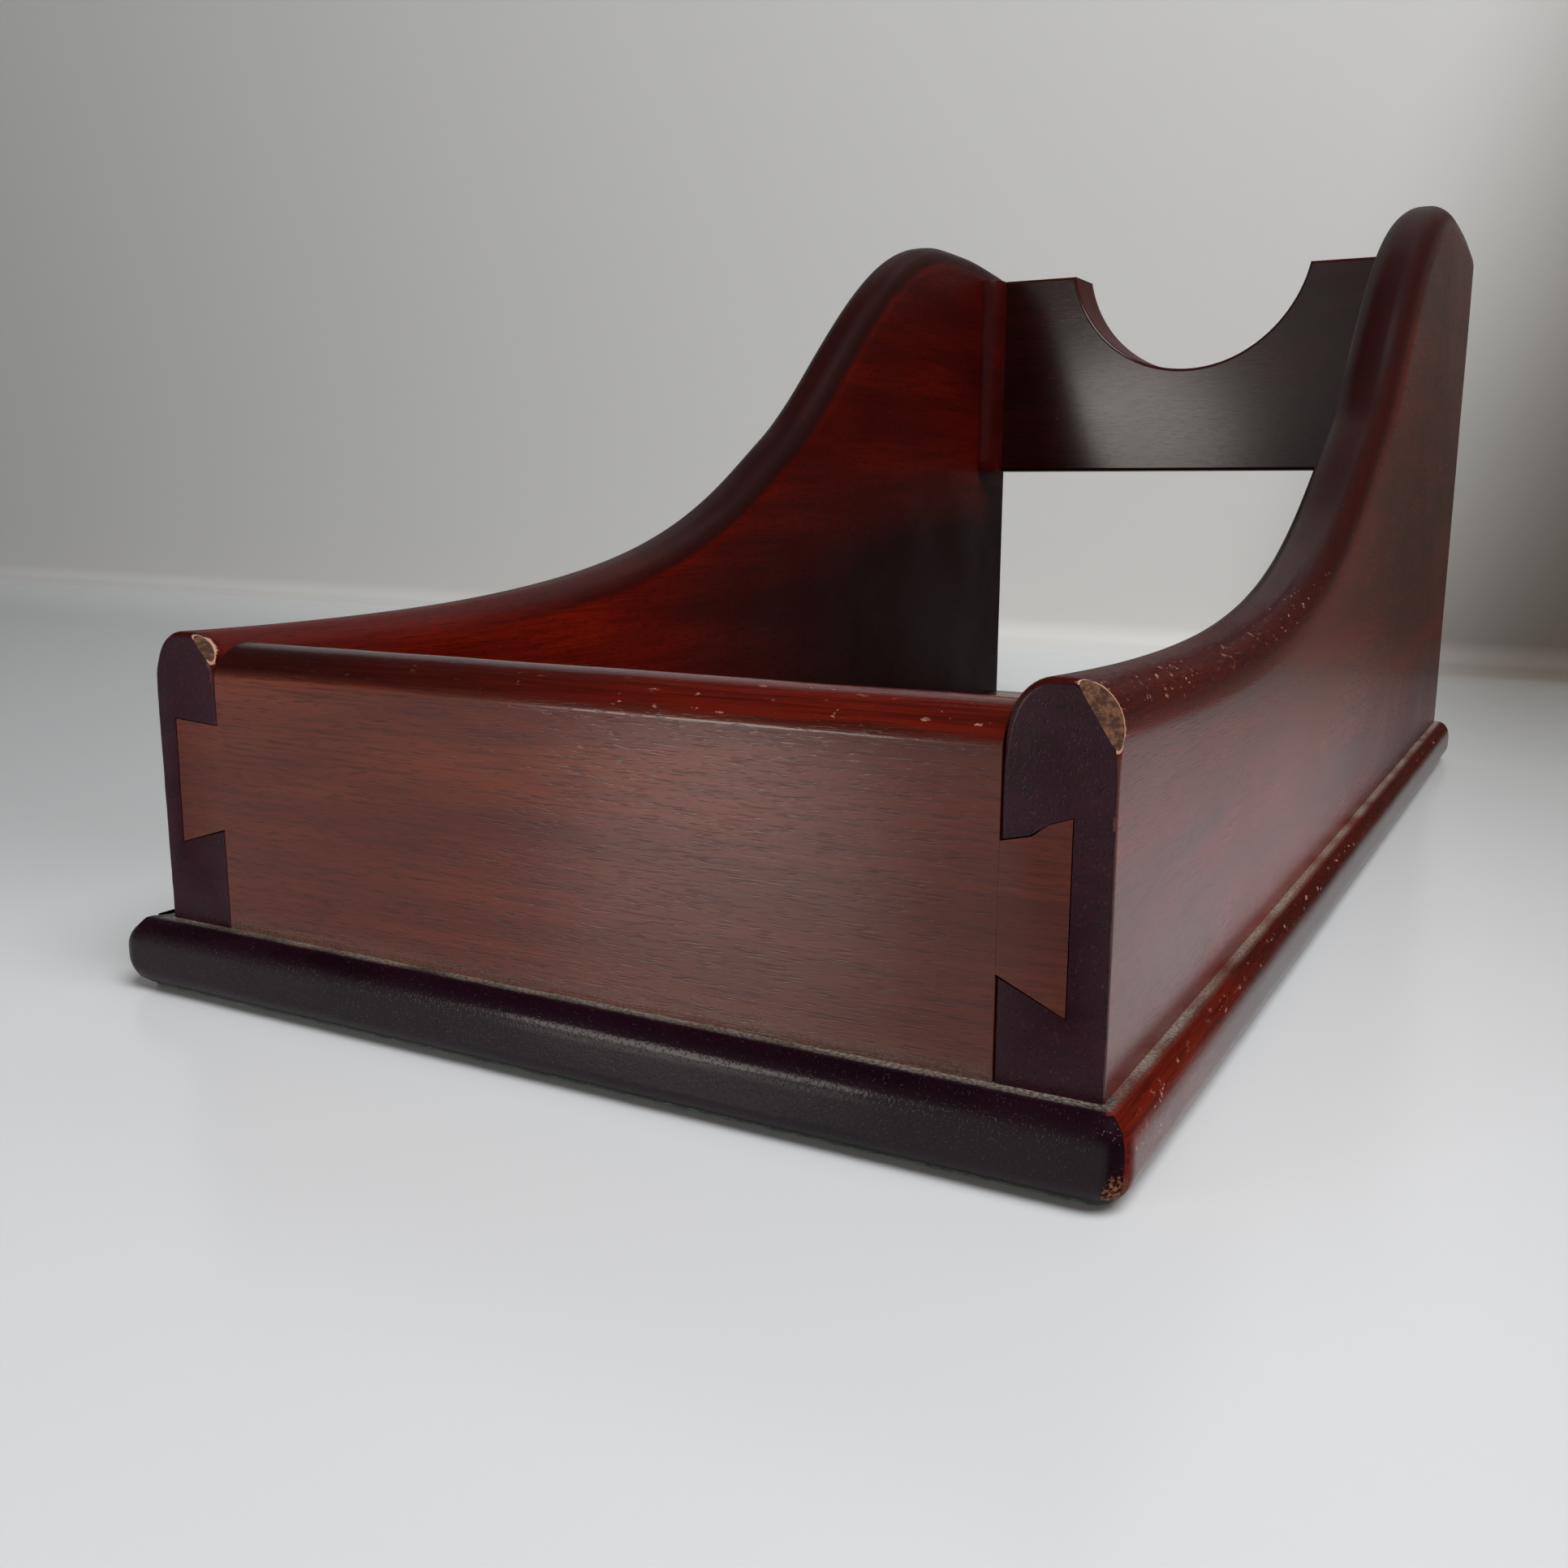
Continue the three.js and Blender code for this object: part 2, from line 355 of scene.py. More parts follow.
def wood_patterns(tree, axis):
    """What the look of varnished wood depends on: noise along its grain, and where it is worn."""
    place = object_place(tree)
    pores = grain_noise(tree, place, axis, 2.4, 0.15, 1)
    blotch = even_noise(tree, place, 22)
    grit = even_noise(tree, place, 0.35)

    edge = attribute(tree, "edge")
    chips = grain_noise(tree, place, axis, 1.9, 0.8, 4, 0.7)
    nicks = ramp(tree, plus(tree, chips, times(tree, edge, 0.19)), 0.76, 0.84)
    clustered = times(tree, nicks, ramp(tree, blotch, 0.42, 0.58, 0.15, 1))
    patchy = times(tree, calc(tree, "SUBTRACT", blotch, 0.5), 0.5)
    return SimpleNamespace(
        depth=add_node(tree, "ShaderNodeSeparateXYZ", {0: place}).outputs["Y"],
        figure=grain_noise(tree, place, axis, 70, 7, 3),
        streaks=grain_noise(tree, place, axis, 14, 0.45, 3, 0.6),
        pores=ramp(tree, pores, 0.55, 0.68),
        blotch=blotch,
        grit=grit,
        chipped=times(tree, clustered, edge),
        bare=ramp(tree, plus(tree, attribute(tree, "bare"), patchy), 0.4, 0.65),
        dusty=times(tree, attribute(tree, "dust"), ramp(tree, grit, 0.38, 0.62, 0.45, 1)))


def wood_color(tree, wood, deep, warm, rear_tone):
    """Figure, streaks and pores, then grime and painted shade, rubbed and chipped places, bare wood and
    dust over them.
    """
    color = blend(tree, ramp(tree, wood.figure, 0.3, 0.7), deep, warm)
    color = blend(tree, ramp(tree, wood.streaks, 0.42, 0.7, 0, 0.55), color, scaled(deep, 0.45))
    color = blend(tree, ramp(tree, wood.blotch, 0.35, 0.7, 0, 0.35), color, scaled(warm, 0.6))
    color = blend(tree, times(tree, wood.pores, 0.55), color, scaled(deep, 0.3))

    # Painted shade darkening towards the rear, with the dark attribute's grime and painted shade, in one
    # near-black red
    rear_shade = ramp(tree, wood.depth, FRONT_Y * MM, REAR_Y * MM, 0, 1 - rear_tone)
    color = blend(tree, calc(tree, "MAXIMUM", rear_shade, attribute(tree, "dark")), color, GRIME_AND_SHADE)

    rubbed = times(tree, attribute(tree, "rubbed"), ramp(tree, wood.blotch, 0.3, 0.6, 0.5, 1))
    red = blend(tree, ramp(tree, wood.streaks, 0.4, 0.65, 0, 0.75), RUBBED, scaled(RUBBED, 0.3))
    color = blend(tree, rubbed, color, red)

    rim = plus(tree, attribute(tree, "rim"), times(tree, wood.grit, 0.5))
    pale = calc(tree, "MAXIMUM", wood.chipped, ramp(tree, rim, 0.75, 1.0))
    color = blend(tree, pale, color, PALE_CHIP)

    bare = blend(tree, ramp(tree, wood.grit, 0.35, 0.65), BARE_WOOD, scaled(BARE_WOOD, 0.62))
    color = blend(tree, wood.bare, color, bare)
    return blend(tree, wood.dusty, color, DUST)


def mahogany(name, axis, deep, warm, coat_roughness, coat=1.0, pore_depth=1.0, rear_tone=1.0):
    """Varnished mahogany with its grain along one axis. A low rear_tone paints shade that darkens it to
    the rear.
    """
    material, tree, shader = new_material(name)
    wood = wood_patterns(tree, axis)
    tree.links.new(wood_color(tree, wood, deep, warm, rear_tone), shader.inputs["Base Color"])

    unvarnished = calc(tree, "MAXIMUM", wood.bare, wood.dusty)
    rough = plus(tree, WOOD_ROUGHNESS, ramp(tree, wood.blotch, 0.3, 0.7, -0.05, 0.08))
    rough = plus(tree, rough, times(tree, wood.pores, 0.12))
    rough = plus(tree, rough, times(tree, unvarnished, 0.3))
    tree.links.new(rough, shader.inputs["Roughness"])
    covered = calc(tree, "SUBTRACT", 1.0, unvarnished)
    glossy = calc(tree, "SUBTRACT", 1.0, attribute(tree, "dull"))
    varnish = times(tree, times(tree, covered, glossy), coat)
    tree.links.new(varnish, shader.inputs["Coat Weight"])
    shader.inputs["Coat Roughness"].default_value = coat_roughness
    shader.inputs["Specular IOR Level"].default_value = 0.05

    height = times(tree, wood.pores, -0.9 * pore_depth)
    height = plus(tree, height, times(tree, wood.grit, 0.35))
    height = plus(tree, height, times(tree, wood.streaks, 0.5 * pore_depth))
    height = plus(tree, height, times(tree, wood.chipped, -3.0))
    set_relief(tree, shader, height, WOOD_RELIEF, VARNISHED)
    return material


def side_wood():
    # Colours brightened to paint in light on the sides; rear_tone 0.3 paints shade that darkens them to
    # the rear
    return mahogany("mahogany_side", ALONG_Y, (0.110, 0.0040, 0.0008, 1), (0.270, 0.0110, 0.0016, 1),
                    0.2, pore_depth=0.5, rear_tone=0.3)


def panel_wood():
    return mahogany("mahogany_panel", ALONG_X, (0.095, 0.012, 0.003, 1), (0.170, 0.029, 0.008, 1),
                    0.15, coat=0.75)


def rest_wood():
    return mahogany("mahogany_rest", ALONG_X, (0.012, 0.001, 0.0004, 1), (0.026, 0.003, 0.001, 1),
                    0.15, coat=0.8, pore_depth=0.15)


def base_wood():
    return mahogany("mahogany_base", ALONG_Y, (0.065, 0.006, 0.002, 1), (0.13, 0.014, 0.004, 1),
                    0.2, coat=0.75)


def end_grain(name, tone, coat, coat_roughness):
    """Dark end grain under worn varnish: open pores seen end on, ring lines and pale specks."""
    material, tree, shader = new_material(name)
    place = object_place(tree)
    pores = ramp(tree, grain_noise(tree, place, ALONG_Y, 3, 0.3, 1), 0.57, 0.7)
    rings = stretched_noise(tree, place, (9, 9, 2.2), 3)
    blotch = even_noise(tree, place, 14, 3)
    grit = even_noise(tree, place, 0.4)
    specks = ramp(tree, even_noise(tree, place, 0.3, 3, 0.6), 0.62, 0.7)

    color = blend(tree, ramp(tree, rings, 0.35, 0.65), tone, scaled(tone, 0.6))
    color = blend(tree, ramp(tree, blotch, 0.3, 0.7, 0, 0.5), color, scaled(tone, 1.5))
    color = blend(tree, times(tree, pores, 0.7), color, PORE_BLACK)
    scuffs = times(tree, specks, plus(tree, attribute(tree, "edge"), 0.25))
    color = blend(tree, scuffs, color, GREY_SPECK)
    patchy = times(tree, calc(tree, "SUBTRACT", grit, 0.5), 0.8)
    bare = ramp(tree, plus(tree, attribute(tree, "bare"), patchy), 0.4, 0.7)
    color = blend(tree, bare, color, BARE_WOOD)
    dusty = times(tree, attribute(tree, "dust"), ramp(tree, grit, 0.38, 0.62, 0.35, 1))
    color = blend(tree, dusty, color, DUST)
    tree.links.new(color, shader.inputs["Base Color"])

    tree.links.new(ramp(tree, blotch, 0.3, 0.7, 0.42, 0.6), shader.inputs["Roughness"])
    glossy = calc(tree, "SUBTRACT", 1.0, attribute(tree, "dull"))
    tree.links.new(times(tree, glossy, coat), shader.inputs["Coat Weight"])
    shader.inputs["Coat Roughness"].default_value = coat_roughness
    shader.inputs["Specular IOR Level"].default_value = 0.03
    height = plus(tree, times(tree, pores, -1.0), times(tree, grit, 1.2))
    set_relief(tree, shader, height, WOOD_RELIEF, VARNISHED)
    return material


def side_end():
    return end_grain("end_grain_side", (0.025, 0.0045, 0.010, 1), 0.28, 0.25)


def base_end():
    return end_grain("end_grain_base", (0.009, 0.0015, 0.005, 1), 0.45, 0.15)


def worn_wood():
    """Wood worn through its varnish: matt, with dark remains in the grain."""
    material, tree, shader = new_material("worn_wood")
    place = object_place(tree)
    remains = stretched_noise(tree, place, (1.0, 1.0, 0.7), 4, 0.65)
    grit = even_noise(tree, place, 0.3)
    color = blend(tree, ramp(tree, remains, 0.4, 0.62),
                  (0.050, 0.018, 0.009, 1), (0.16, 0.070, 0.036, 1))
    color = blend(tree, ramp(tree, grit, 0.45, 0.7, 0, 0.5), color, (0.030, 0.012, 0.007, 1))
    tree.links.new(color, shader.inputs["Base Color"])
    shader.inputs["Roughness"].default_value = 0.7
    shader.inputs["Specular IOR Level"].default_value = 0.2
    set_relief(tree, shader, grit, 0.03)
    return material


def green_baize():
    """Felted wool: mottled dark green with a soft nap."""
    material, tree, shader = new_material("green_baize")
    place = object_place(tree)
    nap = stretched_noise(tree, place, (0.5, 0.5, 0.35), 4, 0.7)
    mottle = even_noise(tree, place, 9, 3)
    color = blend(tree, ramp(tree, nap, 0.3, 0.7), (0.012, 0.035, 0.020, 1), (0.045, 0.10, 0.060, 1))
    color = blend(tree, ramp(tree, mottle, 0.4, 0.7, 0, 0.4), color, (0.05, 0.075, 0.05, 1))
    tree.links.new(color, shader.inputs["Base Color"])
    tree.links.new(ramp(tree, nap, 0.3, 0.7, 0.85, 1.0), shader.inputs["Roughness"])
    shader.inputs["Sheen Weight"].default_value = 0.4
    shader.inputs["Sheen Roughness"].default_value = 0.5
    set_relief(tree, shader, nap, 0.25)
    return material


def screw_steel():
    """Old steel wood screw: turned marks and a little brown tarnish."""
    material, tree, shader = new_material("screw_steel")
    place = object_place(tree)
    marks = stretched_noise(tree, place, (3, 3, 0.15), 2)
    tarnish = even_noise(tree, place, 1.6, 4)
    color = blend(tree, ramp(tree, tarnish, 0.45, 0.65), (0.42, 0.41, 0.39, 1), (0.16, 0.09, 0.05, 1))
    tree.links.new(color, shader.inputs["Base Color"])
    tree.links.new(ramp(tree, tarnish, 0.4, 0.7, 0.3, 0.75), shader.inputs["Roughness"])
    shader.inputs["Metallic"].default_value = 1
    set_relief(tree, shader, marks, 0.02)
    return material


SIDE_WOOD, PANEL_WOOD, REST_WOOD, BASE_WOOD = side_wood(), panel_wood(), rest_wood(), base_wood()
SIDE_END, BASE_END = side_end(), base_end()
WORN_WOOD, BAIZE, STEEL = worn_wood(), green_baize(), screw_steel()


# ---------------------------------------------------------------- sides
def bezier(start, first, second, end, steps):
    """Points on a cubic curve, all but its end."""
    points = []
    for step in range(steps):
        t = step / steps
        weights = ((1 - t) ** 3, 3 * (1 - t) ** 2 * t, 3 * (1 - t) * t * t, t ** 3)
        corners = (start, first, second, end)
        points.append(tuple(sum(w * c[k] for w, c in zip(weights, corners)) for k in (0, 1)))
    return points


def blend_height(start, end, along):
    """Height at a distance from the front, on the line through two points."""
    return start[1] + (end[1] - start[1]) * (along - start[0]) / (end[0] - start[0])


def sweep_line(sweep):
    """Points along the top of a side as (y, z), close together at its ends and near the front."""
    rear_handle = (REAR_HANDLE_ALONG, sweep["crest"][1])
    rear_end = (REAR_Y - FRONT_Y, REAR_TOP)
    curves = (
        (sweep["front"], sweep["front_handle"], sweep["below"], sweep["middle"]),
        (sweep["middle"], sweep["above"], sweep["crest_handle"], sweep["crest"]),
        (sweep["crest"], rear_handle, rear_handle, rear_end))
    line = [point for curve, steps in zip(curves, SWEEP_STEPS) for point in bezier(*curve, steps)]
    line.append(rear_end)
    kept = [(along, blend_height(line[0], line[1], along)) for along in END_RINGS]
    rear = [(rear_end[0] - along, REAR_TOP) for along in reversed(END_RINGS)]
    for point in line:
        spacing = FINE_SPACING if point[0] < FINE_REACH else COARSE_SPACING
        if point[0] - kept[-1][0] >= spacing and rear[0][0] - point[0] >= FINE_SPACING:
            kept.append(point)
    return [(FRONT_Y + along, height) for along, height in kept + rear]


def side_section(side, top, normal):
    """Section of a side whose top line passes through top: [(point, outward), ...], both in 3-D."""
    middle = side * (INNER_HALF + BOARD / 2)
    flat = BOARD / 2 - SIDE_TOP_RADIUS
    arch = []
    for step in range(-ROUND_STEPS, ROUND_STEPS + 1):
        turn = step / ROUND_STEPS * math.pi / 2
        inward = SIDE_TOP_DEPTH * (1 - math.cos(turn))
        x = middle + math.copysign(flat, step) * (step != 0) + SIDE_TOP_RADIUS * math.sin(turn)
        point = Vector((x, top[0] - normal[0] * inward, top[1] - normal[1] * inward))
        outward = Vector((math.sin(turn), normal[0] * math.cos(turn), normal[1] * math.cos(turn)))
        arch.append((point, outward))
    section = []
    for row in range(FACE_ROWS):
        foot = Vector((arch[0][0].x, top[0], BASE_TOP))
        section.append((foot.lerp(arch[0][0], row / FACE_ROWS), Vector((-1, 0, 0))))
    section += arch
    for row in range(1, FACE_ROWS + 1):
        foot = Vector((arch[-1][0].x, top[0], BASE_TOP))
        section.append((arch[-1][0].lerp(foot, row / FACE_ROWS), Vector((1, 0, 0))))
    return section


def end_rounding(point):
    """Radius of the arris round the end grain: worn softest round the low front tops."""
    low_top = smooth_step(FRONT_Y + 10, FRONT_Y, point.y) * smooth_step(36.5, 41, point.z)
    return END_EDGE + 0.5 * low_top + ruffle(point, 0.12, 1.3)


def side_shell(side, sweep):
    """Skin of a side before its socket and facet are cut."""
    line = sweep_line(sweep)
    rings = []
    last = len(line) - 1
    for index, top in enumerate(line):
        before, after = line[max(index - 1, 0)], line[min(index + 1, last)]
        along = Vector((after[0] - before[0], after[1] - before[1])).normalized()
        near_end = min(top[0] - FRONT_Y, REAR_Y - top[0]) < UPRIGHT_REACH
        ring = []
        for point, outward in side_section(side, top, (0, 1) if near_end else (-along.y, along.x)):
            point.y = min(REAR_Y, max(FRONT_Y, point.y))
            outward = Vector((outward.x, 0, outward.z))
            point = point + outward * ruffle(point, 0.05, 19)
            from_end = min(point.y - FRONT_Y, REAR_Y - point.y)
            radius = end_rounding(point)
            if from_end < radius:
                inset = radius - math.sqrt(radius ** 2 - (radius - from_end) ** 2)
                point = point - outward * inset
            ring.append(point)
        rings.append(ring)
    return loft(rings)


def half_space(origin, normal):
    """Block that lies on the outer side of a plane, round its origin."""
    across = normal.cross(Vector((0, 0, 1))).normalized()
    along = normal.cross(across)
    reach = FACET_REACH
    square = [(-reach, -reach), (reach, -reach), (reach, reach), (-reach, reach)]
    near = [origin + across * a + along * b for a, b in square]
    return loft([near, [point + normal * reach for point in near]])


def grown(outline, room):
    """Outline with each point moved by room in X and in Z, away from its middle."""
    middle_x = sum(x for x, _ in outline) / len(outline)
    middle_z = sum(z for _, z in outline) / len(outline)
    return [(x + math.copysign(room, x - middle_x), z + math.copysign(room, z - middle_z))
            for x, z in outline]


def side_wear(side, facet):
    """Where a side is chipped, rubbed, grimy or dull, where painted shade darkens it, and the pale
    fringe beside its facet.
    """
    origin, facing = facet
    top_front = 0.82 if side > 0 else 0.45  # grime and painted shade on the low front of the top
    top_rear = 0.95

    def to_rear(point):
        return smooth_step(60, 200, point.y - FRONT_Y)

    def edge(point, normal):
        outer_top = smooth_step(0.1, 0.5, normal.z) * smooth_step(-0.1, 0.5, side * normal.x)
        return outer_top * (0.95 - 0.55 * smooth_step(30, 170, point.y - FRONT_Y))

    def rubbed(point, normal):
        outer_arris = smooth_step(0.35, 0.7, side * normal.x) * smooth_step(0.08, 0.4, normal.z)
        return 0.18 * outer_arris * (1 - 0.6 * to_rear(point))

    def dark(point, normal):
        along = point.y - FRONT_Y
        # Top: grime and painted shade, darker to the rear
        top = top_front + (top_rear - top_front) * smooth_step(20, 110, along)
        top *= smooth_step(-0.05, 0.35, normal.z)
        low_top = smooth_step(34, 37, point.z) * (side * normal.x < 0.3)
        end_rim = max(0.8 * smooth_step(3, 1, along) * low_top, 0.7 * smooth_step(0.6, 0.2, along))
        # Painted shade on the inner face: darker to the rear, and low down under the neck rest
        inner = (0.3 * smooth_step(20, 50, along) + 0.35 * smooth_step(95, 225, along)
                 + 0.5 * smooth_step(65, 125, along) * smooth_step(72, 40, point.z))
        # Painted shade on the outer face: darker to the rear and higher up
        outer = 0.15 + 0.35 * to_rear(point) + 0.28 * smooth_step(20, 38, point.z)
        return max(top, end_rim, inner if side * normal.x < -0.3 else outer)

    def dull(point, normal):
        along = point.y - FRONT_Y
        inner = 0.85 + 0.13 * smooth_step(90, 180, along)
        outer = 0.12 * smooth_step(15, 50, along) + 0.48 * to_rear(point)
        top = 0.82 + 0.08 * smooth_step(60, 150, along)
        return max(inner * smooth_step(0.3, 0.8, -side * normal.x), outer,
                   top * smooth_step(0.1, 0.5, normal.z))

    def rim(point, normal):
        return 1 - smooth_step(0, 0.25, (origin - point).dot(facing))

    return {"rim": rim, "rubbed": rubbed, "dark": dark, "dull": dull, "edge": edge}


def make_side(name, side, sweep, tail, facet):
    """A side with the socket for the tail and the worn facet cut into it. side is -1 or 1."""
    piece = make_object(name, side_shell(side, sweep))
    outline = grown([(side * x, z) for x, z in tail], TAIL_GAP)
    socket = prism(outline, FRONT_Y - SOCKET_START, FRONT_Y + BOARD + TAIL_GAP)
    cut_away(piece, make_object("socket", socket))
    cut_away(piece, make_object("facet", half_space(*facet)))

    def choose_material(centre, normal):
        origin, facing = facet
        if abs((centre - origin).dot(facing)) < ON_FACET and normal.dot(facing) > 0.99:
            return 2
        return 1 if abs(normal.y) > END_FACING and abs(centre.y) > REAR_Y - END_DEPTH else 0

    paint(piece, side_wear(side, facet))
    dress(piece, name, [SIDE_WOOD, SIDE_END, WORN_WOOD], choose_material)


# ---------------------------------------------------------------- front board
def panel_section(x):
    """Closed section of the front board at x: flat front, half-round top, flat back."""
    top = PANEL_HIGH.z
    arris = top - ARRIS_BELOW_TOP
    half = BOARD / 2
    middle = FRONT_Y + half
    radius = (half ** 2 + ARRIS_BELOW_TOP ** 2) / (2 * ARRIS_BELOW_TOP)
    spread = math.asin(half / radius)
    face = arris - ARRIS_RADIUS - BASE_TOP
    front = [Vector((x, FRONT_Y, BASE_TOP + face * row / PANEL_ROWS)) for row in range(PANEL_ROWS + 1)]
    soft = [Vector((x, FRONT_Y + ARRIS_SOFTENING, arris - ARRIS_SOFTENING))]
    crown = []
    for step in range(1, CROWN_STEPS):
        turn = -spread + 2 * spread * step / CROWN_STEPS
        height = top - radius + radius * math.cos(turn)
        crown.append(Vector((x, middle + radius * math.sin(turn), height)))
    back = [Vector((x, point.y + BOARD, point.z)) for point in reversed(front)]
    ring = []
    for point in front + soft + crown + back:
        size = 0.05 if point.y > FRONT_Y + 0.2 and point.z > arris else 0.02
        lift = ruffle(point, size, 11) * (point.z > arris)
        point = point + Vector((0, ruffle(point, size, 17), lift))
        point.z = max(point.z, BASE_TOP)
        ring.append(point)
    return ring


def panel_wear():
    """Half-round top darkened by grime and painted shade, most at the left, rubbed red at the right,
    dull in front; dusty foot.
    """
    arris = PANEL_HIGH.z - ARRIS_BELOW_TOP

    def on_tail(point):
        return abs(point.x) > INNER_HALF

    def on_crown(point):
        return smooth_step(arris, arris + 0.8, point.z)

    # Crown darkened by grime and painted shade, most at the left; the face darker towards the right, and
    # the tails a little
    def dark(point, normal):
        crown = on_crown(point) * (0.75 + 0.2 * smooth_step(50, -46, point.x))
        return max(crown, 0.3 * smooth_step(5, 45, point.x), 0.2 * on_tail(point))

    def dull(point, normal):
        crown = 0.7 * smooth_step(arris, arris + 0.5, point.z) * smooth_step(0.975, 0.9, normal.z)
        return max(0.4 * on_tail(point), crown * (normal.y < 0))

    def rubbed(point, normal):
        return on_crown(point) * (0.1 + 0.7 * smooth_step(-46, 30, point.x))

    def edge(point, normal):
        return 0.66 * smooth_step(arris - 0.8, arris + 0.5, point.z)

    def dust(point, normal):
        return 0.35 * smooth_step(2.2, 0, point.z - BASE_TOP)

    return {"dark": dark, "dull": dull, "rubbed": rubbed, "edge": edge, "dust": dust}


def make_front_board():
    half = INNER_HALF - JOINT_LINE
    places = [-half + 2 * half * step / PANEL_STEPS for step in range(PANEL_STEPS + 1)]
    panel = loft([panel_section(x) for x in places])
    tails = [prism([(side * x, z) for x, z in tail], FRONT_Y + TAIL_SET_BACK, FRONT_Y + BOARD)
             for side, tail in ((-1, LEFT_TAIL), (1, RIGHT_TAIL))]
    piece = make_object("front_board", join_shells(panel, *tails))
    paint(piece, panel_wear())
    dress(piece, "front_board", [PANEL_WOOD])


# ---------------------------------------------------------------- neck rest and corner blocks
def rest_outline():
    """Outline of the neck rest in X and Z, with its notch, as [(point, outward), ...]."""
    top, low = REST_HIGH.z, REST_LOW.z
    rim = math.asin(NOTCH_CENTRE_ABOVE_TOP / NOTCH_RADIUS)
    centre = top + NOTCH_CENTRE_ABOVE_TOP
    lip = NOTCH_RADIUS * math.cos(rim) + NOTCH_LIP
    half = INNER_HALF
    line = [((-half, low), (0, -1)), ((half, low), (0, -1)), ((half, top), (0, 1)), ((lip, top), (0, 1))]
    for step in range(NOTCH_STEPS + 1):
        turn = -rim - (math.pi - 2 * rim) * step / NOTCH_STEPS
        away = (math.cos(turn), math.sin(turn))
        point = (NOTCH_RADIUS * away[0], centre + NOTCH_RADIUS * away[1])
        line.append((point, (-away[0], -away[1])))
    line += [((-lip, top), (0, 1)), ((-half, top), (0, 1))]
    return line


def rest_profile():
    """Rounded front and rear edges of the neck rest, as [(y, inset), ...]."""
    front = []
    for share in REST_EDGE_TURNS:
        turn = share * math.pi / 2
        front.append((REST_LOW.y + REST_EDGE * (1 - math.sin(turn)), REST_EDGE * (1 - math.cos(turn))))
    return front + [(REST_HIGH.y - (y - REST_LOW.y), inset) for y, inset in reversed(front)]


def make_neck_rest():
    rings = []
    for y, inset in rest_profile():
        ring = []
        for (x, z), (out_x, out_z) in rest_outline():
            wave = ruffle((x, y, z), 0.08, 15) * (z > WAVY_ABOVE)
            ring.append(Vector((x - out_x * inset, y, z - out_z * inset + wave)))
        rings.append(ring)
    piece = make_object("neck_rest", loft(rings))
    paint(piece, {
        "dull": lambda point, normal: 0.92 * smooth_step(0.9, 0.5, abs(normal.y)),
        "rubbed": lambda point, normal: 0.3 * smooth_step(0.97, 0.8, abs(normal.y)) * (normal.z > 0.1),
        "edge": lambda point, normal: 0.3 * smooth_step(1.2, 0.3, point.y - REST_LOW.y),
    })
    dress(piece, "neck_rest", [REST_WOOD])


def make_corner_block(name, side):
    """Quarter-round glue block, its rounded face towards the bottle."""
    leg = BLOCK_HIGH.x - BLOCK_LOW.x
    corner = Vector((side * INNER_HALF, REST_LOW.y, 0))
    outline = [corner.copy()]
    for step in range(BLOCK_STEPS + 1):
        turn = step / BLOCK_STEPS * math.pi / 2
        outline.append(corner + Vector((-side * leg * math.cos(turn), -leg * math.sin(turn), 0)))
    rings = []
    for row in range(BLOCK_ROWS + 1):
        z = BLOCK_LOW.z + (BLOCK_HIGH.z - BLOCK_LOW.z) * row / BLOCK_ROWS
        size = 1 - BLOCK_END_SHRINK * (row in (0, BLOCK_ROWS))
        rings.append([corner + (p - corner) * (size + ruffle((p.x, p.y, z), 0.03, 6)) + Vector((0, 0, z))
                      for p in outline])
    piece = make_object(name, loft(rings))
    paint(piece, {"dark": lambda point, normal: 0.8, "dull": lambda point, normal: 0.85})
    dress(piece, name, [SIDE_WOOD])


# ---------------------------------------------------------------- base
def rounded_rectangle(low, high, inset, corner, spacing):
    """Points round a rectangle in X and Y, with its corners rounded."""
    radius = max(corner - inset, SMALLEST_CORNER)
    x0, y0, x1, y1 = low[0] + inset, low[1] + inset, high[0] - inset, high[1] - inset
    centres = [(x1 - radius, y1 - radius), (x0 + radius, y1 - radius),
               (x0 + radius, y0 + radius), (x1 - radius, y0 + radius)]
    points = []
    for index, (cx, cy) in enumerate(centres):
        arc = [(cx + radius * math.cos(turn), cy + radius * math.sin(turn))
               for turn in (math.pi / 2 * (index + step / ARC_STEPS) for step in range(ARC_STEPS + 1))]
        points += arc
        nx, ny = centres[(index + 1) % 4]
        turn = math.pi / 2 * (index + 1)
        target = (nx + radius * math.cos(turn), ny + radius * math.sin(turn))
        count = spacing[index % 2]
        points += [(arc[-1][0] + (target[0] - arc[-1][0]) * k / count,
                    arc[-1][1] + (target[1] - arc[-1][1]) * k / count) for k in range(1, count)]
    return points


def base_rounding(x, low_x, high_x, upper):
    """How far in, and how far up or down, the edge is rounded: most at the left."""
    left = smooth_step(low_x + EDGE_REACH[0], low_x + EDGE_REACH[1], x)
    right = smooth_step(high_x - EDGE_REACH[0], high_x - EDGE_REACH[1], x)
    if upper:
        return [plain + more * left for plain, more in zip(UPPER_EDGE, UPPER_LEFT_WEAR)]
    wear = zip(LOWER_EDGE, LOWER_LEFT_WEAR, LOWER_RIGHT_WEAR)
    return [plain + at_left * left + at_right * right for plain, at_left, at_right in wear]


